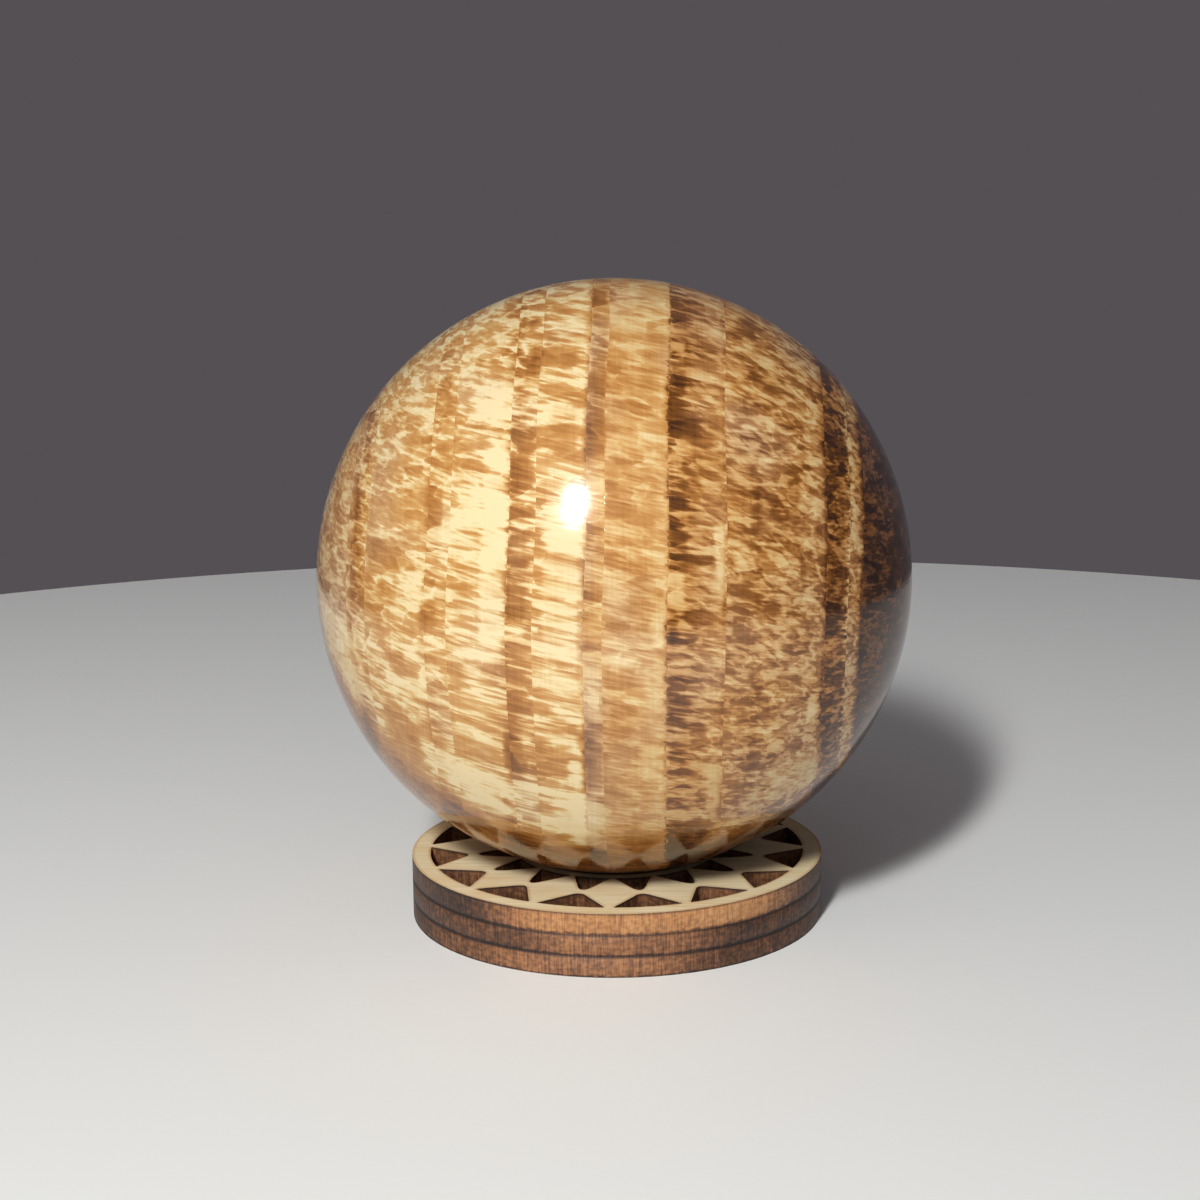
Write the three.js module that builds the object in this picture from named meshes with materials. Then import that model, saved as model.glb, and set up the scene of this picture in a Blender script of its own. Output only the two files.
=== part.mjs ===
// A polished stone sphere resting on a pierced plywood disc. Millimetres, +Z up, origin at the
// centre of the disc's underside, with one kite of the lattice pointing along -Y.
import * as THREE from 'three';

const sphereDiameter = 56.5;
const sphereSegments = 72;

const standDiameter = 40;
const standThickness = 6;
const seatHoleDiameter = 17.6;
const seatGap = 0.1; // between the sphere and the rim of the hole that it sits in

const kiteCount = 16;
const innerRingRadius = 9.9; // the kites' inner tips end on this ring
const outerRingRadius = 18.2; // the kites' outer tips end on this ring
const kiteWaistRadius = 14.2; // neighbouring kites touch here
const bridgeWidth = 0.8; // wood left between the two rows of cutouts at the waist
const innerNeckWidth = 0.45;
const outerNeckWidth = 0.8;
const apexRounding = 0.8;
const cornerRounding = 0.1;

const outerEdgeSegments = 96;
const seatEdgeSegments = 48;
const baseArcSegments = 5;
const cornerSegments = 3;
const apexSegments = 5;

const stone = new THREE.MeshStandardMaterial({ color: 0xb98f5e, roughness: 0.08, metalness: 0 });
const plywood = new THREE.MeshStandardMaterial({ color: 0xd5be8c, roughness: 0.75, metalness: 0 });

function polar(radius, angle) {
  return new THREE.Vector2(radius * Math.cos(angle), radius * Math.sin(angle));
}

function circlePoints(radius, segments) {
  return Array.from({ length: segments }, (_, i) => polar(radius, (2 * Math.PI * i) / segments));
}

// Points of the curve that rounds the corner between the sides to the points before and after it.
function roundedCorner(before, corner, after, rounding, segments) {
  const toBefore = before.clone().sub(corner).normalize();
  const toAfter = after.clone().sub(corner).normalize();
  const halfAngle = Math.acos(THREE.MathUtils.clamp(toBefore.dot(toAfter), -1, 1)) / 2;
  const setBack = rounding / Math.tan(halfAngle);
  const start = corner.clone().addScaledVector(toBefore, setBack);
  const end = corner.clone().addScaledVector(toAfter, setBack);
  return new THREE.QuadraticBezierCurve(start, corner, end).getPoints(segments);
}

// One cutout between two kites: a triangle whose base follows a ring and whose apex stops short
// of the waist. The corner that the apex is rounded from lies beyond it by what the curve cuts off.
function cutoutPoints(middleAngle, baseRadius, neckWidth) {
  const halfPitch = Math.PI / kiteCount;
  const baseHalfAngle = halfPitch - neckWidth / 2 / baseRadius;
  const towardsWaist = Math.sign(kiteWaistRadius - baseRadius);
  const apexRadius = kiteWaistRadius - (towardsWaist * bridgeWidth) / 2;
  const baseHalfWidth = baseRadius * Math.sin(baseHalfAngle);
  const halfAngle = Math.atan(baseHalfWidth / Math.abs(apexRadius - baseRadius));
  const cutOff = (apexRounding * Math.cos(halfAngle) ** 2) / (2 * Math.sin(halfAngle));
  const apex = polar(apexRadius + towardsWaist * cutOff, middleAngle);
  const base = [];
  for (let i = 0; i <= baseArcSegments; i += 1) {
    const share = (2 * i) / baseArcSegments - 1;
    base.push(polar(baseRadius, middleAngle + share * baseHalfAngle));
  }
  const last = base.length - 1;
  return [
    ...roundedCorner(apex, base[0], base[1], cornerRounding, cornerSegments),
    ...base.slice(1, last),
    ...roundedCorner(base[last - 1], base[last], apex, cornerRounding, cornerSegments),
    ...roundedCorner(base[last], apex, base[0], apexRounding, apexSegments),
  ];
}

function makeStand() {
  const outline = new THREE.Shape(circlePoints(standDiameter / 2, outerEdgeSegments));
  outline.holes.push(new THREE.Path(circlePoints(seatHoleDiameter / 2, seatEdgeSegments)));
  for (let i = 0; i < kiteCount; i += 1) {
    const middleAngle = ((i + 0.5) * 2 * Math.PI) / kiteCount - Math.PI / 2;
    outline.holes.push(new THREE.Path(cutoutPoints(middleAngle, outerRingRadius, outerNeckWidth)));
    outline.holes.push(new THREE.Path(cutoutPoints(middleAngle, innerRingRadius, innerNeckWidth)));
  }
  const geometry = new THREE.ExtrudeGeometry(outline, { depth: standThickness, bevelEnabled: false });
  const stand = new THREE.Mesh(geometry, plywood);
  stand.name = 'stand';
  return stand;
}

function makeSphere() {
  const radius = sphereDiameter / 2;
  const geometry = new THREE.SphereGeometry(radius, sphereSegments, sphereSegments / 2);
  geometry.rotateX(Math.PI / 2);
  const sphere = new THREE.Mesh(geometry, stone);
  sphere.name = 'sphere';
  const seatToCentre = Math.sqrt(radius ** 2 - (seatHoleDiameter / 2) ** 2);
  sphere.position.z = standThickness + seatToCentre + seatGap;
  return sphere;
}

const ornament = new THREE.Group();
ornament.name = 'sphere_on_stand';
ornament.add(makeStand(), makeSphere());

export default ornament;
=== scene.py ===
import math
import random

import bmesh
import bpy
import numpy as np
from mathutils import Matrix, Vector, noise


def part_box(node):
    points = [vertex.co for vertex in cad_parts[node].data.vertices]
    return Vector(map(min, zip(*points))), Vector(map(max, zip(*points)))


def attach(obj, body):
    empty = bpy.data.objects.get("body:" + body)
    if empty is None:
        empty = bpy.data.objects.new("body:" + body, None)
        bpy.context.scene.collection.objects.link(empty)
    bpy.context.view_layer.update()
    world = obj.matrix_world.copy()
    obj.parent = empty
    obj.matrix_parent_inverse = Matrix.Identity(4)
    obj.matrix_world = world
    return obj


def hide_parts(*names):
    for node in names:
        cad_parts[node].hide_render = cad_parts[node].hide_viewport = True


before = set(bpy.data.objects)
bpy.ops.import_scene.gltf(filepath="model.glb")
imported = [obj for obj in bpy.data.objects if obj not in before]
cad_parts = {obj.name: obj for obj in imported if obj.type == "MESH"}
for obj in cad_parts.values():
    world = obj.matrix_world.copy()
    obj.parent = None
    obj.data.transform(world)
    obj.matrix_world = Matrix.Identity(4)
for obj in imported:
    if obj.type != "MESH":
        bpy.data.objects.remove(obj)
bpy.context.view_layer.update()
print("frame loaded:", ", ".join(sorted(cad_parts)))

mm = 0.001


def linear(hexColour):
    channels = [int(hexColour[i:i + 2], 16) / 255 for i in (1, 3, 5)]
    return tuple(c / 12.92 if c <= 0.04045 else ((c + 0.055) / 1.055) ** 2.4 for c in channels) + (1.0,)


def addNode(tree, kind, settings=None, inputs=None, stops=None):
    # inputs maps a socket to a value, to another socket or to a node, whose first output is then used
    node = tree.nodes.new("ShaderNode" + kind)
    for name, value in (settings or {}).items():
        setattr(node, name, value)
    for socket, value in (inputs or {}).items():
        if isinstance(value, bpy.types.Node):
            value = value.outputs[0]
        if isinstance(value, bpy.types.NodeSocket):
            tree.links.new(value, node.inputs[socket])
        else:
            node.inputs[socket].default_value = value
    if stops:  # of a colour ramp: place from 0 to 1, and a hex colour or four numbers
        elements = node.color_ramp.elements
        while len(elements) < len(stops):
            elements.new(1.0)
        for element, (place, colour) in zip(elements, stops):
            element.position = place
            element.color = linear(colour) if isinstance(colour, str) else colour
    return node


def newMaterial(name):
    material = bpy.data.materials.new(name)
    material.use_nodes = True
    tree = material.node_tree
    tree.nodes.clear()
    surface = addNode(tree, "BsdfPrincipled")
    addNode(tree, "OutputMaterial", inputs={"Surface": surface})
    return material, tree, surface


def smoothStep(low, high, values):
    share = np.clip((values - low) / (high - low), 0, 1)
    return share * share * (3 - 2 * share)


def addAttribute(mesh, name, values):
    # one number for each vertex
    attribute = mesh.attributes.new(name, "FLOAT", "POINT")
    attribute.data.foreach_set("value", np.asarray(values, dtype=np.float32))


def finishPiece(bm, name, materials, node):
    mesh = bpy.data.meshes.new(name)
    bm.to_mesh(mesh)
    bm.free()
    for material in materials:
        mesh.materials.append(material)
    piece = bpy.data.objects.new(name, mesh)
    bpy.context.scene.collection.objects.link(piece)
    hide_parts(node)
    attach(piece, "root")
    return mesh


sphereLow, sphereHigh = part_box("sphere")
sphereCentre = (sphereLow + sphereHigh) / 2
sphereRadius = (sphereHigh.z - sphereLow.z) / 2

sphere = {
    "ringSegments": 400,
    "ringCount": 220,
    "layerTurn": 2.0,  # degrees that the growth layers' normal is turned about Z from +X
    "layerTilt": 0.4,  # degrees that it dips to the right
    "layerBow": 0.9,  # mm that the layers bulge to the left in front
    "bowBalance": 0.7,  # share of the bulge at which a layer keeps its place
    "waviness": 0.5,  # mm, at most, that a layer wanders
    "wavinessScale": (46.667, 14.0, 14.0),  # mm across, into and along the layers
    "raggedEdges": 0.22,  # mm that fibres cross from one layer into the next
    "fibreTurn": -8.5,  # degrees that the fibres turn about Z
    "fibreJump": 40.0,  # mm, at most, that the mottling jumps where fibres end
    "markWander": (0.24, 0.8),  # mm that a mark's edge wanders across and up
    "markGrain": (2.2, 1.2, 0.7),  # mm, size of those waves
    "markDip": 0.17,  # slope of a mark's upper and lower edge
    "markSquareness": 6,  # 2 would make the marks ellipses
    "markFade": (0.8, 1.25),  # shares of a mark's half size between which it fades out
    "markCalm": 0.3,  # share of the mottling that is gone within a mark
    "markTone": 0.08,  # how much a mark changes the tone itself, beside the share of pale stone
    "cellSize": (3.0, 2.4, 1.05),  # mm across, into and along the layers
    "cellDip": 8.0,  # degrees
    "cellWander": (0.9, 0.9, 0.6),  # mm that the cells' outlines wander
    "cellFray": 0.4,  # mm that fibres fray the cells' ends
    "cellOutline": (0.02, 0.20, 0.45),  # where it fades from and to, in cells, and its strength
    "cellTones": (-0.9, 0.7),  # of the darkest and the palest cell
    "crossingShare": 0.6,  # strength of streaks that run on across the layers' edges
    "needleShare": 0.22,  # strength of the finest strokes, everywhere
    "fadeWidth": 0.65,  # half the width of the change from dark to pale stone
    "blushShare": 0.3,  # how much the greyness comes and goes
    "reliefStrength": 0.12,
    "reliefDepth": 0.02,  # mm
    "roughness": 0.12,
    "backMarks": 70,  # marks strewn over the hidden half
    "seed": 11,
    # colour of the stone by tone, and the same where it is greyer
    "warmTones": [(0.00, "#220f08"), (0.18, "#4b2a11"), (0.34, "#7c4b1c"), (0.50, "#a66e36"),
                  (0.62, "#bd874a"), (0.75, "#cd9f61"), (0.88, "#dabb82"), (1.00, "#e8d3a3")],
    "greyTones": [(0.00, "#2a1c1a"), (0.18, "#4e372d"), (0.34, "#765745"), (0.50, "#9b785c"),
                  (0.62, "#b29172"), (0.75, "#c5a684"), (0.88, "#d5bc96"), (1.00, "#e3d0ad")],
}

# Noise patterns of the stone: size of a grain in mm across, into and along the layers, degrees that
# it dips to the right, detail and distortion. A pattern without a dip isn't turned as the fibres are.
stonePatterns = {
    "patches": ((2.8, 2.6, 1.3), 10, 1.5, 0.4),
    "streaks": ((6.5, 1.8, 0.48), 10, 2.0, 0.15),
    "crossings": ((10.0, 2.0, 0.5), 9, 2.0, 0.2),
    "worms": ((2.7, 1.0, 0.64), 26, 1.8, 0.8),
    "needles": ((3.6, 0.8, 0.25), 12, 1.0, 0.3),
    "growthLines": ((0.26, 7.0, 5.0), 0, 1.0, 0.0),
    "blush": ((7.0, 8.0, 8.0), 0, 1.0, 0.0),
}
# How much the finer patterns change the tone within a grain.
toneShares = {"needles": 0.05, "growthLines": 0.02, "cells": 0.09}

# The growth layers from left to right: mm from the middle | tones of the pale and of the dark stone
# in it, from 0, dark brown, to 1, cream, then its greyness and its share of pale stone | strengths of
# the patches, streaks, worms and cells in it.
layers = [
    (-28.2, (0.78, 0.56, 0.60, 0.48), (0.40, 0.70, 0.10, 0.40)),
    (-23.6, (0.84, 0.62, 0.30, 0.48), (0.40, 0.70, 0.10, 0.40)),
    (-22.8, (0.74, 0.44, 0.20, 0.38), (0.30, 0.50, 0.10, 0.60)),
    (-21.5, (0.92, 0.67, 0.10, 0.44), (0.30, 0.95, 0.10, 0.50)),
    (-16.2, (0.93, 0.68, 0.05, 0.45), (0.30, 1.00, 0.00, 0.50)),
    (-15.7, (0.90, 0.58, 0.00, 0.43), (0.20, 0.80, 0.00, 0.70)),
    (-14.0, (0.94, 0.67, 0.00, 0.43), (0.20, 1.10, 0.00, 0.40)),
    (-10.6, (0.97, 0.69, 0.00, 0.52), (0.20, 1.10, 0.00, 0.30)),
    (-8.7, (0.90, 0.49, 0.00, 0.44), (0.20, 0.90, 0.00, 0.60)),
    (-6.5, (0.95, 0.63, 0.00, 0.44), (0.20, 1.10, 0.00, 0.40)),
    (-2.45, (0.96, 0.66, 0.00, 0.54), (0.25, 1.00, 0.00, 0.30)),
    (-2.35, (0.72, 0.46, 0.40, 0.42), (0.20, 0.60, 0.00, 0.60)),
    (-0.8, (0.79, 0.59, 0.10, 0.46), (0.50, 0.35, 0.40, 0.20)),
    (2.6, (0.80, 0.60, 0.00, 0.47), (0.50, 0.30, 0.50, 0.15)),
    (4.55, (0.83, 0.67, 0.00, 0.54), (0.40, 0.50, 0.45, 0.05)),
    (4.65, (0.70, 0.27, 0.10, 0.42), (0.20, 0.80, 0.10, 0.50)),
    (5.9, (0.70, 0.33, 0.10, 0.42), (0.20, 0.70, 0.40, 0.50)),
    (7.2, (0.75, 0.42, 0.15, 0.45), (0.30, 0.35, 0.70, 0.20)),
    (9.2, (0.80, 0.50, 0.05, 0.52), (0.20, 0.35, 0.70, 0.15)),
    (9.3, (0.66, 0.43, 0.00, 0.42), (0.10, 0.20, 0.50, 0.50)),
    (9.7, (0.80, 0.45, 0.05, 0.46), (0.20, 0.35, 0.85, 0.10)),
    (12.2, (0.74, 0.39, 0.05, 0.42), (0.20, 0.35, 0.70, 0.30)),
    (12.5, (0.80, 0.44, 0.05, 0.48), (0.20, 0.35, 0.85, 0.10)),
    (18.0, (0.78, 0.40, 0.10, 0.47), (0.20, 0.35, 0.85, 0.10)),
    (18.2, (0.54, 0.18, 0.05, 0.35), (0.40, 0.30, 0.40, 0.40)),
    (20.2, (0.57, 0.22, 0.10, 0.41), (0.40, 0.30, 0.50, 0.30)),
    (20.6, (0.84, 0.45, 0.20, 0.60), (0.20, 0.20, 0.80, 0.20)),
    (21.5, (0.78, 0.37, 0.20, 0.54), (0.20, 0.20, 0.80, 0.20)),
    (21.8, (0.28, 0.10, 0.20, 0.44), (0.40, 0.60, 0.50, 0.20)),
]

# Where fibres end at a layer's edge, in mm from the middle.
fibreEnds = [-23.6, -21.5, -15.8, -13.9, -8.7, -6.5, -2.4, -0.8, 4.6, 9.3, 18.1, 20.5, 21.7]

# Single marks on the half that is seen first: mm across, degrees up, half width in mm, half height
# in degrees, and how much lighter or darker the stone is there; the underside mark is painted shade.
marks = [
    # caramel patches in the outer left layers
    (-19.1, 27.0, 2.3, 4.6, -0.6), (-19.6, 36.3, 1.7, 2.2, -0.5), (-19.3, 15.4, 2.2, 4.6, -0.6),
    (-20.3, 3.0, 1.8, 5.6, -0.6), (-18.7, -31.5, 1.7, 6.0, -0.9), (-18.6, -10.0, 1.1, 2.4, -0.6),
    (-22.3, 14.0, 0.6, 13.0, -0.4), (-24.6, -22.0, 2.4, 15.0, 0.7), (-17.2, -17.0, 1.6, 3.2, 0.6),
    (-17.0, 7.0, 1.3, 4.0, 0.6),
    # small brown blocks along one layer
    (-15.2, 24.6, 0.7, 4.4, -0.7), (-14.6, 43.8, 0.7, 3.4, -0.6), (-14.8, 53.6, 0.6, 2.6, -0.8),
    (-14.8, 65.4, 0.5, 1.4, -0.8), (-15.3, 8.8, 0.6, 1.6, -1.0), (-15.3, 2.4, 0.7, 2.8, -0.9),
    # streaks and pale stretches left of the middle
    (-12.4, 47.4, 2.2, 1.5, -0.6), (-12.0, 57.4, 2.2, 1.0, -0.5), (-12.6, 36.4, 2.4, 1.3, -0.5),
    (-10.3, 44.6, 1.9, 4.6, 0.8), (-9.8, 15.0, 1.0, 19.0, 0.7), (-12.8, 20.0, 1.6, 7.0, 0.4),
    (-9.7, -7.2, 2.6, 1.2, -0.8), (-14.0, -8.0, 2.2, 1.0, -0.6), (-6.6, -13.6, 1.7, 1.4, -0.7),
    (-13.6, -18.6, 3.4, 1.0, -0.6), (-12.6, -25.6, 3.0, 3.4, -0.3), (-4.4, -16.0, 1.6, 1.2, -0.5),
    # dark blocks beside the pale layer
    (-7.5, 35.0, 1.0, 2.8, -0.7), (-7.6, 29.0, 0.9, 3.0, -0.9), (-7.6, 21.8, 0.9, 1.1, -0.8),
    (-7.7, 17.0, 0.9, 1.0, -0.8), (-7.8, 12.6, 0.8, 0.7, -0.8), (-7.8, 6.0, 0.9, 3.4, -0.8),
    (-6.8, 54.2, 0.6, 0.9, -1.3), (-6.9, 50.8, 0.5, 1.6, -0.9), (-8.2, -24.6, 0.8, 5.0, -1.1),
    (-7.3, 64.0, 0.6, 2.2, -0.8), (-7.0, 71.4, 0.9, 1.2, -0.7), (-8.0, 0.0, 1.1, 1.0, 0.6),
    # caramel and cream stretches before the sharp edge
    (-5.2, 52.4, 1.9, 2.2, -0.8), (-4.1, 44.0, 1.9, 1.6, -0.6), (-5.1, 34.6, 1.9, 2.6, -0.9),
    (-4.8, 40.6, 3.2, 1.0, 0.7), (-4.1, 9.0, 1.4, 16.0, 0.5), (-5.2, -24.6, 1.9, 4.4, -0.8),
    (-2.9, -27.0, 0.7, 3.0, 0.8),
    # the large cream patch and the spots in it
    (-8.9, -39.8, 7.4, 8.4, 0.65), (-2.4, -40.0, 1.2, 8.0, 0.9), (-6.0, -37.0, 0.7, 1.5, -0.8),
    (-9.3, -38.3, 0.6, 0.9, -0.8), (-13.2, -46.8, 1.6, 2.6, -0.9), (-8.0, -55.0, 7.0, 4.0, -0.8),
    # painted shade: the whole underside, over the stand, is darkened
    (0.0, -76.0, 26.0, 27.0, -2.6),
    # the broken brown layer right of the sharp edge
    (-1.5, 72.0, 0.6, 4.0, -0.7), (-1.3, 46.4, 0.7, 6.4, -0.6), (-1.4, 34.0, 0.9, 3.2, -0.9),
    (-1.7, -24.8, 0.9, 5.8, -1.0), (-1.7, -50.6, 0.9, 1.4, -1.0), (-1.5, 24.0, 0.8, 4.0, 0.4),
    (-1.6, -9.0, 0.8, 5.0, 0.4),
    # the quiet tan layer
    (0.9, -5.2, 1.4, 0.7, 0.9), (4.0, 0.6, 0.6, 3.4, 0.6), (3.5, -25.6, 0.9, 4.0, 0.5),
    (1.0, 61.0, 1.6, 3.0, 0.4), (3.0, -46.0, 1.8, 4.0, -0.7),
    # very dark and lighter stretches of the dark layer
    (5.8, 38.4, 1.5, 2.8, -0.9), (5.3, 24.4, 0.8, 3.4, -0.5), (5.4, 14.8, 0.9, 3.4, -0.5),
    (5.1, 1.0, 0.7, 1.8, -0.7), (5.4, 47.0, 0.8, 3.2, -0.6), (5.5, 63.5, 0.8, 2.2, -0.6),
    (5.2, 30.6, 0.7, 1.2, 0.7), (5.2, 8.0, 0.7, 2.6, 0.8), (5.2, 55.6, 0.6, 1.2, 0.8),
    (6.4, -48.0, 1.8, 5.0, -0.9),
    # light and dark stretches in the grainy layers
    (8.9, 12.0, 0.5, 6.0, 0.7), (8.8, -33.0, 0.7, 6.4, 0.7), (7.6, 35.0, 1.1, 1.6, -0.6),
    (16.8, 26.0, 1.0, 2.6, 0.6), (17.6, -21.0, 0.6, 3.4, 0.9), (13.0, 24.0, 1.2, 3.0, -0.5),
    (16.2, -40.0, 2.4, 7.0, 0.5), (11.0, -50.0, 2.0, 5.0, 0.4), (12.6, 52.0, 2.4, 1.2, -0.5),
    (19.3, 43.0, 0.9, 4.4, -0.5),
]


def stoneFrame():
    # turns the object's axes so that X runs across the growth layers
    turn = Matrix.Rotation(math.radians(-sphere["layerTurn"]), 3, "Z")
    tilt = Matrix.Rotation(math.radians(-sphere["layerTilt"]), 3, "Y")
    return tilt @ turn


def marksAllRound():
    # the back gets marks of the same kinds, strewn by chance
    draw = random.Random(sphere["seed"])
    strewn = []
    for _ in range(sphere["backMarks"]):
        across, angle = draw.uniform(-24, 20), draw.uniform(98, 282)
        halfWidth, halfHeight = draw.uniform(0.7, 2.2), draw.uniform(1.0, 5.0)
        lighter = draw.choice((-0.8, -0.6, -0.4, 0.5, 0.7))
        strewn.append((across, angle, halfWidth, halfHeight, lighter))
    return marks + strewn


def layOutStone(mesh):
    # writes on each vertex where it lies across the layers and what the marks do to it, all in mm
    noise.seed_set(sphere["seed"])  # noise_vector would otherwise differ from run to run
    toStone = stoneFrame()
    count = len(mesh.vertices)
    across = np.empty(count)
    angle = np.empty(count)
    wander = np.empty((2, count))
    for i, vertex in enumerate(mesh.vertices):
        place = toStone @ (vertex.co - sphereCentre) / mm
        slow = noise.noise(Vector([p / size for p, size in zip(place, sphere["wavinessScale"])]))
        quick = noise.noise_vector(Vector([p / size for p, size in zip(place, sphere["markGrain"])]))
        turned = math.atan2(place.z, -place.y)
        bulge = math.cos(turned) ** 2 - sphere["bowBalance"]
        across[i] = place.x + slow * sphere["waviness"] + bulge * sphere["layerBow"]
        angle[i] = math.degrees(turned)
        wander[:, i] = quick.xy
    wanderAcross, wanderUp = wander * np.array(sphere["markWander"])[:, None]
    leastRadius = 3.0  # mm, so that a mark near the poles doesn't run round the stone
    radiusHere = np.sqrt(np.maximum((sphereRadius / mm) ** 2 - across ** 2, leastRadius ** 2))
    perDegree = np.radians(radiusHere)  # mm along the surface
    fadeStart, fadeEnd = sphere["markFade"]
    power = sphere["markSquareness"]
    shift = np.zeros(count)
    calm = np.zeros(count)
    for markAcross, markAngle, halfWidth, halfHeight, lighter in marksAllRound():
        sideways = (across - markAcross + wanderAcross) / halfWidth
        upwards = (angle - markAngle + 180) % 360 - 180
        upwards += (wanderUp + (across - markAcross) * sphere["markDip"]) / perDegree
        upwards = upwards / halfHeight
        away = (sideways ** power + upwards ** power) ** (1 / power)
        inside = smoothStep(fadeEnd, fadeStart, away)
        shift += inside * lighter
        calm = np.maximum(calm, inside)
    addAttribute(mesh, "layerAcross", across)
    addAttribute(mesh, "markShift", shift)
    addAttribute(mesh, "markCalm", calm)


def makePolishedAragonite():
    # Banded aragonite, ground round and polished: glossy as glass over fibres and grains that run
    # across its growth layers, and a little translucent.
    material, tree, surface = newMaterial("polishedAragonite")
    place = addNode(tree, "TexCoord").outputs["Object"]
    stone = addNode(tree, "Mapping", {"vector_type": "TEXTURE"}, {
        "Vector": place, "Location": sphereCentre,
        "Rotation": stoneFrame().inverted().to_euler(), "Scale": (mm, mm, mm)})

    # the mottling's place jumps where fibres end
    across = addNode(tree, "Attribute", {"attribute_name": "layerAcross"}).outputs["Fac"]
    halfWidth = sphereRadius / mm

    def share(fromMiddle):
        # 0 at the stone's left end and 1 at its right end
        return (fromMiddle + halfWidth) / (2 * halfWidth)

    draw = random.Random(sphere["seed"])
    plain = addNode(tree, "MapRange", None, {
        "Value": across, "From Min": -halfWidth, "From Max": halfWidth})
    jump = addNode(tree, "ValToRGB", None, {"Fac": plain}, [
        (share(end), (0, draw.random(), draw.random(), 1)) for end in [-halfWidth] + fibreEnds])
    jump.color_ramp.interpolation = "CONSTANT"
    unbroken = stone
    stone = addNode(tree, "VectorMath", {"operation": "MULTIPLY_ADD"},
                    {0: jump, 1: (0, sphere["fibreJump"], sphere["fibreJump"]), 2: stone})
    patterns = {}
    for name, (size, dip, detail, distortion) in stonePatterns.items():
        turn = (0, math.radians(dip), math.radians(sphere["fibreTurn"] if dip else 0))
        grainPlace = addNode(tree, "Mapping", {"vector_type": "TEXTURE"}, {
            "Vector": unbroken if name == "crossings" else stone, "Rotation": turn, "Scale": size})
        grain = addNode(tree, "TexNoise", None, {
            "Vector": grainPlace, "Scale": 1.0, "Detail": detail, "Distortion": distortion})
        patterns[name] = addNode(tree, "MapRange", {"clamp": False}, {
            "Value": grain, "From Min": 0.3, "From Max": 0.7, "To Min": -1.0, "To Max": 1.0})

    # cells of brown stone, each with its own tone, in pale outlines
    wander = addNode(tree, "TexNoise", None, {"Vector": stone, "Scale": 0.6, "Detail": 2.5})
    cellPlace = addNode(tree, "VectorMath", {"operation": "MULTIPLY_ADD"}, {
        0: wander.outputs["Color"], 1: sphere["cellWander"], 2: stone})
    cellPlace = addNode(tree, "VectorMath", {"operation": "MULTIPLY_ADD"}, {
        0: patterns["streaks"], 1: (sphere["cellFray"], 0, 0), 2: cellPlace})
    cellTurn = (0, math.radians(sphere["cellDip"]), math.radians(sphere["fibreTurn"]))
    cellPlace = addNode(tree, "Mapping", {"vector_type": "TEXTURE"}, {
        "Vector": cellPlace, "Rotation": cellTurn, "Scale": sphere["cellSize"]})
    outlineFrom, outlineTo, outlineStrength = sphere["cellOutline"]
    outline = addNode(tree, "TexVoronoi", {"feature": "DISTANCE_TO_EDGE"}, {
        "Vector": cellPlace, "Scale": 1.0})
    outline = addNode(tree, "MapRange", {"interpolation_type": "SMOOTHSTEP"}, {
        "Value": outline, "From Min": outlineFrom, "From Max": outlineTo,
        "To Min": outlineStrength, "To Max": 0.0})
    darkestCell, palestCell = sphere["cellTones"]
    cell = addNode(tree, "TexVoronoi", None, {"Vector": cellPlace, "Scale": 1.0})
    cell = addNode(tree, "SeparateColor", None, {0: cell.outputs["Color"]})
    cell = addNode(tree, "MapRange", None, {"Value": cell, "To Min": darkestCell, "To Max": palestCell})
    patterns["cells"] = addNode(tree, "Math", {"operation": "ADD"}, {0: cell, 1: outline})

    # what the layer is made of, with fibres that cross its edges
    for name in ("needles", "streaks"):
        across = addNode(tree, "Math", {"operation": "MULTIPLY_ADD"},
                         {0: patterns[name], 1: sphere["raggedEdges"], 2: across})
    span = addNode(tree, "MapRange", None, {
        "Value": across, "From Min": -halfWidth, "From Max": halfWidth})
    tones = addNode(tree, "ValToRGB", None, {"Fac": span}, [
        (share(fromMiddle), stoneTones) for fromMiddle, stoneTones, _ in layers])
    mottling = addNode(tree, "ValToRGB", None, {"Fac": span}, [
        (share(fromMiddle), patternStrengths) for fromMiddle, _, patternStrengths in layers])
    palest, darkest, grey = addNode(tree, "SeparateColor", None, {0: tones}).outputs[:3]
    strengths = list(addNode(tree, "SeparateColor", None, {0: mottling}).outputs[:3])
    strengths.append(mottling.outputs["Alpha"])

    # share of the pale stone at each place
    shift = addNode(tree, "Attribute", {"attribute_name": "markShift"}).outputs["Fac"]
    calm = addNode(tree, "Attribute", {"attribute_name": "markCalm"}).outputs["Fac"]
    mottled = addNode(tree, "MapRange", None, {
        "Value": tones.outputs["Alpha"], "To Min": -1.0, "To Max": 1.0})
    lively = addNode(tree, "MapRange", None, {
        "Value": calm, "To Min": 1.0, "To Max": 1.0 - sphere["markCalm"]})
    patterns["streaks"] = addNode(tree, "Math", {"operation": "MULTIPLY_ADD"}, {
        0: patterns["crossings"], 1: sphere["crossingShare"], 2: patterns["streaks"]})
    for name, strength in zip(("patches", "streaks", "worms", "cells"), strengths):
        part = addNode(tree, "Math", {"operation": "MULTIPLY"}, {0: patterns[name], 1: strength})
        mottled = addNode(tree, "Math", {"operation": "MULTIPLY_ADD"}, {0: part, 1: lively, 2: mottled})
    for part, weight in ((patterns["needles"], sphere["needleShare"]), (shift, 1.0)):
        mottled = addNode(tree, "Math", {"operation": "MULTIPLY_ADD"}, {0: part, 1: weight, 2: mottled})
    pale = addNode(tree, "MapRange", {"interpolation_type": "SMOOTHSTEP"}, {
        "Value": mottled, "From Min": -sphere["fadeWidth"], "From Max": sphere["fadeWidth"]})

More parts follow.
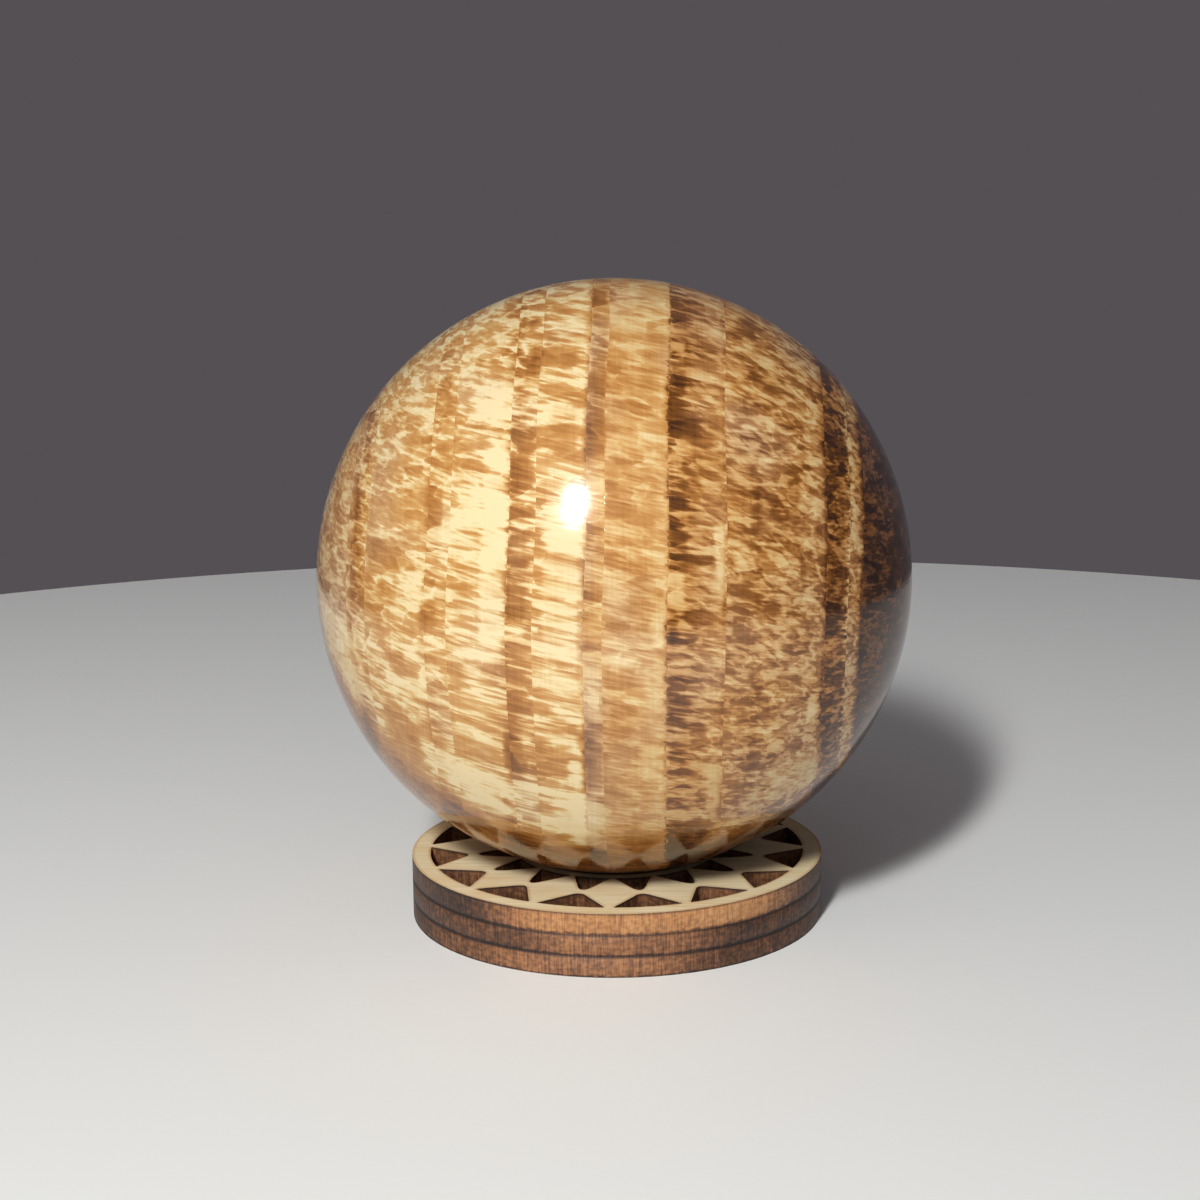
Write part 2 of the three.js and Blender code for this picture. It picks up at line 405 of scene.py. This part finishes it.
    # tone, from the dark and the pale stone of the layer
    tone = addNode(tree, "Mix", {"data_type": "FLOAT"}, {"Factor": pale, 2: darkest, 3: palest})
    tone = addNode(tree, "Math", {"operation": "MULTIPLY_ADD"}, {0: shift, 1: sphere["markTone"], 2: tone})
    for name, weight in toneShares.items():
        tone = addNode(tree, "Math", {"operation": "MULTIPLY_ADD"}, {
            0: patterns[name], 1: weight, 2: tone})
    warm = addNode(tree, "ValToRGB", None, {"Fac": tone}, sphere["warmTones"])
    cool = addNode(tree, "ValToRGB", None, {"Fac": tone}, sphere["greyTones"])
    greyness = addNode(tree, "Math", {"operation": "MULTIPLY_ADD", "use_clamp": True},
                       {0: patterns["blush"], 1: sphere["blushShare"], 2: grey})
    colour = addNode(tree, "Mix", {"data_type": "RGBA"}, {"Factor": greyness, 6: warm, 7: cool})
    tree.links.new(colour.outputs[2], surface.inputs["Base Color"])

    # the polish leaves softer grains a trace lower
    bump = addNode(tree, "Bump", None, {
        "Height": mottled, "Strength": sphere["reliefStrength"], "Distance": sphere["reliefDepth"] * mm})
    tree.links.new(bump.outputs[0], surface.inputs["Normal"])
    surface.inputs["Roughness"].default_value = sphere["roughness"]
    surface.inputs["IOR"].default_value = 1.55
    surface.inputs["Subsurface Weight"].default_value = 0.08
    surface.inputs["Subsurface Radius"].default_value = (1.0, 0.6, 0.3)
    surface.inputs["Subsurface Scale"].default_value = 0.6 * mm
    return material


def makeSphere():
    # its poles lie on the axis across the layers, so that rows of vertices follow the layers
    bm = bmesh.new()
    poleAlongX = Matrix.Rotation(math.radians(90), 4, "Y")
    toObject = stoneFrame().inverted().to_4x4()
    bmesh.ops.create_uvsphere(bm, u_segments=sphere["ringSegments"], v_segments=sphere["ringCount"],
                              radius=sphereRadius,
                              matrix=Matrix.Translation(sphereCentre) @ toObject @ poleAlongX)
    for face in bm.faces:
        face.smooth = True
    mesh = finishPiece(bm, "polished_sphere", [makePolishedAragonite()], "sphere")
    layOutStone(mesh)


makeSphere()
print("sphere made")

standLow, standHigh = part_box("stand")
standThickness = standHigh.z - standLow.z
standRadius = (standHigh.x - standLow.x) / 2

stand = {
    "plies": 3,
    "glueLine": 0.20,  # mm, width of the groove burnt along each glue line
    "glueDepth": 0.07,  # mm
    "edgeRounding": 0.05,  # mm
    "faceTones": [(0.30, "#e0cea4"), (0.50, "#eadab1"), (0.70, "#f3e6c3")],
    "facePatches": "#dfba82",
    "faceGrain": (9.0, 0.35, 2.0),  # mm, size of a fibre along and across the grain
    "facePatchSize": (5.0, 3.0, 3.0),  # mm
    "faceRoughness": 0.72,
    "scorch": "#b87f3a",
    "scorchReach": 0.7,  # mm that the laser browned the face beside a cut
    "scorchStrength": 0.85,
    "edgeTones": [(0.00, "#1c1210"), (0.18, "#3b261c"), (0.36, "#61402a"),
                  (0.55, "#8f6140"), (0.75, "#b98352"), (1.00, "#d3a472")],
    # noise over the cut edge: size of a grain in mm, detail, and from where to where it turns the
    # tone from darker to lighter by how much
    "burns": {
        "lines": ((0.16, 0.16, 2.2), 2.0, (0.30, 0.70), 0.12),
        "flecks": ((0.5, 0.5, 0.35), 3.0, (0.35, 0.65), 0.10),
    },
    "charring": 0.32,  # how much darker the edge is along its glue lines and rims
    "charReach": (0.03, 0.28),  # mm from there
    "edgeRoughness": 0.55,
    # where a painted sheen lightens each ply's outer edge, from the lowest up: degrees from the front,
    # half width
    "paintedSheenStretches": [(-5, 27), (4, 22), (12, 42)],
    "paintedSheenFade": (0.6, 1.45),  # shares of that half width between which the painted sheen fades out
    "brownedTone": 0.27,
    "paintedSheenTones": (0.27, 0.21, 0.46),  # painted sheen added to it at its fullest, for each ply
    "cutoutTone": 0.42,
    "toneWander": 0.12,
    "wanderScale": (9.0, 2.0),  # mm, round the edge and in the cutouts
    "plyShift": 3.7,  # how far apart the plies' noise lies
    "seed": 5,
}


def makePlywoodFace():
    # Basswood plywood, bare: pale and dull, with a faint straight grain, browned along the cuts.
    material, tree, surface = newMaterial("bareBasswoodPly")
    place = addNode(tree, "TexCoord").outputs["Object"]
    grainPlace = addNode(tree, "Mapping", {"vector_type": "TEXTURE"}, {
        "Vector": place, "Scale": Vector(stand["faceGrain"]) * mm})
    grain = addNode(tree, "TexNoise", None, {"Vector": grainPlace, "Scale": 1.0, "Detail": 3.0})
    patchPlace = addNode(tree, "Mapping", {"vector_type": "TEXTURE"}, {
        "Vector": place, "Scale": Vector(stand["facePatchSize"]) * mm})
    patches = addNode(tree, "TexNoise", None, {"Vector": patchPlace, "Scale": 1.0, "Detail": 2.0})
    colour = addNode(tree, "ValToRGB", None, {"Fac": grain}, stand["faceTones"])
    warm = addNode(tree, "MapRange", None, {
        "Value": patches, "From Min": 0.4, "From Max": 0.75, "To Max": 0.5})
    colour = addNode(tree, "Mix", {"data_type": "RGBA"}, {
        "Factor": warm, 6: colour, 7: linear(stand["facePatches"])})

    # a rounded normal differs from the flat one only beside an edge
    rounded = addNode(tree, "Bevel", {"samples": 6}, {"Radius": stand["scorchReach"] * mm})
    flat = addNode(tree, "NewGeometry").outputs["Normal"]
    along = addNode(tree, "VectorMath", {"operation": "DOT_PRODUCT"}, {0: rounded, 1: flat})
    scorch = addNode(tree, "MapRange", None, {
        "Value": along.outputs["Value"], "From Min": 0.78, "From Max": 0.998,
        "To Min": stand["scorchStrength"], "To Max": 0.0})
    colour = addNode(tree, "Mix", {"data_type": "RGBA"}, {
        "Factor": scorch, 6: colour.outputs[2], 7: linear(stand["scorch"])})
    tree.links.new(colour.outputs[2], surface.inputs["Base Color"])
    bump = addNode(tree, "Bump", None, {"Height": grain, "Strength": 0.25, "Distance": 0.03 * mm})
    tree.links.new(bump.outputs[0], surface.inputs["Normal"])
    surface.inputs["Roughness"].default_value = stand["faceRoughness"]
    return material


def makeScorchedEdge():
    # The same plywood where the laser cut it: browned and charred, with upright burn lines across
    # the plies and a black line along each glue line.
    material, tree, surface = newMaterial("laserScorchedEdge")
    place = addNode(tree, "TexCoord").outputs["Object"]
    height = addNode(tree, "SeparateXYZ", None, {0: place}).outputs["Z"]
    # tone from the vertices: real charring, with a painted sheen on the outer edge where it faces the
    # front
    tone = addNode(tree, "Attribute", {"attribute_name": "browningAndPaintedSheen"}).outputs["Fac"]
    burns, turns = {}, {}
    for name, (size, detail, (darker, lighter), change) in stand["burns"].items():
        burnPlace = addNode(tree, "Mapping", {"vector_type": "TEXTURE"}, {
            "Vector": place, "Scale": Vector(size) * mm})
        burns[name] = addNode(tree, "TexNoise", None, {
            "Vector": burnPlace, "Scale": 1.0, "Detail": detail})
        turns[name] = addNode(tree, "MapRange", None, {
            "Value": burns[name], "From Min": darker, "From Max": lighter,
            "To Min": -change, "To Max": change})
        tone = addNode(tree, "Math", {"operation": "ADD"}, {0: turns[name], 1: tone})

    # height above the nearest glue line or rim, up to half a ply, which the flecks make uneven
    plyHeight = standThickness / stand["plies"]
    unevenHeight = addNode(tree, "Math", {"operation": "MULTIPLY_ADD"}, {
        0: turns["flecks"], 1: 0.5 * mm, 2: height})
    fromLine = addNode(tree, "Math", {"operation": "PINGPONG"}, {0: unevenHeight, 1: plyHeight / 2})
    blackest, clear = stand["charReach"]
    charred = addNode(tree, "MapRange", {"interpolation_type": "SMOOTHSTEP"}, {
        "Value": fromLine, "From Min": blackest * mm, "From Max": clear * mm,
        "To Min": -stand["charring"], "To Max": 0.0})
    tone = addNode(tree, "Math", {"operation": "ADD"}, {0: tone, 1: charred})
    colour = addNode(tree, "ValToRGB", None, {"Fac": tone}, stand["edgeTones"])
    tree.links.new(colour.outputs[0], surface.inputs["Base Color"])
    bump = addNode(tree, "Bump", None, {
        "Height": burns["lines"], "Strength": 0.5, "Distance": 0.03 * mm})
    tree.links.new(bump.outputs[0], surface.inputs["Normal"])
    surface.inputs["Roughness"].default_value = stand["edgeRoughness"]
    return material


def browningAndSheenAt(place, outside):
    # 0 is charred and 1 is clean wood; on the outer edge the part facing the front is lightened, a painted
    # sheen
    roundScale, cutoutScale = stand["wanderScale"]
    if not outside:
        return stand["cutoutTone"] + stand["toneWander"] * noise.noise(place / (cutoutScale * mm))
    ply = min(int((place.z - standLow.z) / standThickness * stand["plies"]), stand["plies"] - 1)
    around = math.degrees(math.atan2(place.x, -place.y))
    middle, halfWidth = stand["paintedSheenStretches"][ply]
    away = abs((around - middle + 180) % 360 - 180) / halfWidth
    fadeStart, fadeEnd = stand["paintedSheenFade"]
    # painted sheen: the edge is lighter where it faces the front
    light = float(smoothStep(fadeEnd, fadeStart, away))
    patch = noise.noise(Vector((place.x / (roundScale * mm), place.y / (roundScale * mm),
                                ply * stand["plyShift"] + stand["seed"])))
    return stand["brownedTone"] + stand["paintedSheenTones"][ply] * light + stand["toneWander"] * patch


def makeStand():
    bm = bmesh.new()
    bm.from_mesh(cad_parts["stand"].data)
    bmesh.ops.remove_doubles(bm, verts=bm.verts, dist=0.001 * mm)
    bmesh.ops.dissolve_limit(bm, angle_limit=math.radians(0.5), verts=bm.verts, edges=bm.edges)

    # grooves along the glue lines, round the edge and in every cutout: each is cut along its two
    # sides and its middle, and the middle is then moved inwards
    plyHeight = standThickness / stand["plies"]
    for i in range(1, stand["plies"]):
        for side in (-0.5, 0.0, 0.5):
            walls = [f for f in bm.faces if abs(f.normal.z) < 0.5]
            parts = set(walls)
            for f in walls:
                parts.update(f.edges)
                parts.update(f.verts)
            level = standLow.z + i * plyHeight + side * stand["glueLine"] * mm
            bmesh.ops.bisect_plane(bm, geom=list(parts), plane_co=(0, 0, level), plane_no=(0, 0, 1),
                                   dist=0.0001 * mm)
    bm.normal_update()
    for i in range(1, stand["plies"]):
        level = standLow.z + i * plyHeight
        for v in [v for v in bm.verts if abs(v.co.z - level) < 0.01 * mm]:
            inwards = Vector((v.normal.x, v.normal.y, 0)).normalized()
            v.co -= inwards * stand["glueDepth"] * mm

    for face in bm.faces:
        face.material_index = 0 if abs(face.normal.z) > 0.9 else 1
        face.smooth = True
    rims = [e for e in bm.edges if len(e.link_faces) == 2
            and {f.material_index for f in e.link_faces} == {0, 1}]
    bmesh.ops.bevel(bm, geom=rims, offset=stand["edgeRounding"] * mm, segments=2, profile=0.5,
                    affect="EDGES", material=-1, clamp_overlap=False)
    mesh = finishPiece(bm, "pierced_stand", [makePlywoodFace(), makeScorchedEdge()], "stand")
    mesh.set_sharp_from_angle(angle=math.radians(20))
    # charring tone, with a painted sheen towards the front on the outer edge
    addAttribute(mesh, "browningAndPaintedSheen", [
        browningAndSheenAt(v.co, v.co.xy.length > standRadius - 0.5 * mm) for v in mesh.vertices])


makeStand()
print("stand made")

studio = {
    "floorRadius": 205,  # mm
    "floorColour": "#f0f1ee",
    "worldColour": "#545054",
    "keyAzimuth": -16.0,  # degrees from the camera's own azimuth
    "keyHeight": 35.0,  # degrees
    "keyDistance": 0.5,  # m, from the middle of the sphere
    "keySize": (0.065, 0.15),  # m
    "keyPower": 14.5,  # W
    "keyFalloff": 1.6,  # how fast the light fades towards its rim
    "fillDistance": 0.9,
    "fillSize": (2.0, 2.0),
    "fillPower": 5.5,
    "fillFalloff": 1.0,
}
camera = {  # angles in degrees
    "azimuth": 2.3,
    "elevation": 10.07,
    "distance": 7.123,  # in sphere radii
    "pitch": 10.72,
    "pan": 0.395,
    "roll": -0.62,
    "lens": 63.0,  # mm
}


def direction(azimuth, elevation):
    # azimuth 0 is in front of the object, on -Y, and grows towards +X
    a, e = math.radians(azimuth), math.radians(elevation)
    return Vector((math.sin(a) * math.cos(e), -math.cos(a) * math.cos(e), math.sin(e)))


def makeCamera():
    data = bpy.data.cameras.new("camera")
    data.lens = camera["lens"]
    data.clip_start = 0.005
    data.clip_end = 20
    eye = bpy.data.objects.new("camera", data)
    bpy.context.scene.collection.objects.link(eye)
    towards = direction(camera["azimuth"], camera["elevation"])
    eye.location = sphereCentre + towards * camera["distance"] * sphereRadius
    heading = Matrix.Rotation(math.radians(camera["azimuth"] + camera["pan"]), 3, "Z")
    tip = Matrix.Rotation(math.radians(90 - camera["pitch"]), 3, "X")
    roll = Matrix.Rotation(math.radians(camera["roll"]), 3, "Z")
    eye.rotation_euler = (heading @ tip @ roll).to_euler()
    bpy.context.scene.camera = eye


def makeFloor():
    bm = bmesh.new()
    bmesh.ops.create_circle(bm, cap_ends=True, segments=256, radius=studio["floorRadius"] * mm)
    mesh = bpy.data.meshes.new("floor")
    bm.to_mesh(mesh)
    bm.free()
    material, _, surface = newMaterial("paleFloor")
    surface.inputs["Base Color"].default_value = linear(studio["floorColour"])
    surface.inputs["Roughness"].default_value = 0.7
    mesh.materials.append(material)
    floor = bpy.data.objects.new("floor", mesh)
    bpy.context.scene.collection.objects.link(floor)


def makeLights():
    for name in ("key", "fill"):
        softbox = bpy.data.lights.new(name, "AREA")
        softbox.shape = "RECTANGLE"
        softbox.size, softbox.size_y = studio[name + "Size"]
        softbox.energy = studio[name + "Power"]
        softbox.use_nodes = True
        tree = softbox.node_tree
        # brightest in the middle and fading towards its rim
        over = addNode(tree, "NewGeometry").outputs["Parametric"]
        centred = addNode(tree, "Mapping", None, {
            "Vector": over, "Location": (-1, -1, 0), "Scale": (2, 2, 0)})
        away = addNode(tree, "VectorMath", {"operation": "LENGTH"}, {0: centred}).outputs["Value"]
        inwards = addNode(tree, "MapRange", None, {"Value": away, "From Min": 1.0, "From Max": 0.0})
        glow = addNode(tree, "Math", {"operation": "POWER"}, {0: inwards, 1: studio[name + "Falloff"]})
        tree.links.new(glow.outputs[0], tree.nodes["Emission"].inputs["Strength"])
        light = bpy.data.objects.new(name, softbox)
        bpy.context.scene.collection.objects.link(light)
        towards = direction(studio["keyAzimuth"] + camera["azimuth"], studio["keyHeight"])
        light.location = sphereCentre + towards * studio[name + "Distance"]
        light.rotation_euler = towards.to_track_quat("Z", "Y").to_euler()

    world = bpy.data.worlds.new("studio")
    world.use_nodes = True
    bpy.context.scene.world = world
    background = world.node_tree.nodes["Background"]
    background.inputs["Color"].default_value = linear(studio["worldColour"])


makeCamera()
makeFloor()
makeLights()
bpy.context.scene.view_settings.view_transform = "Standard"
print("studio made")
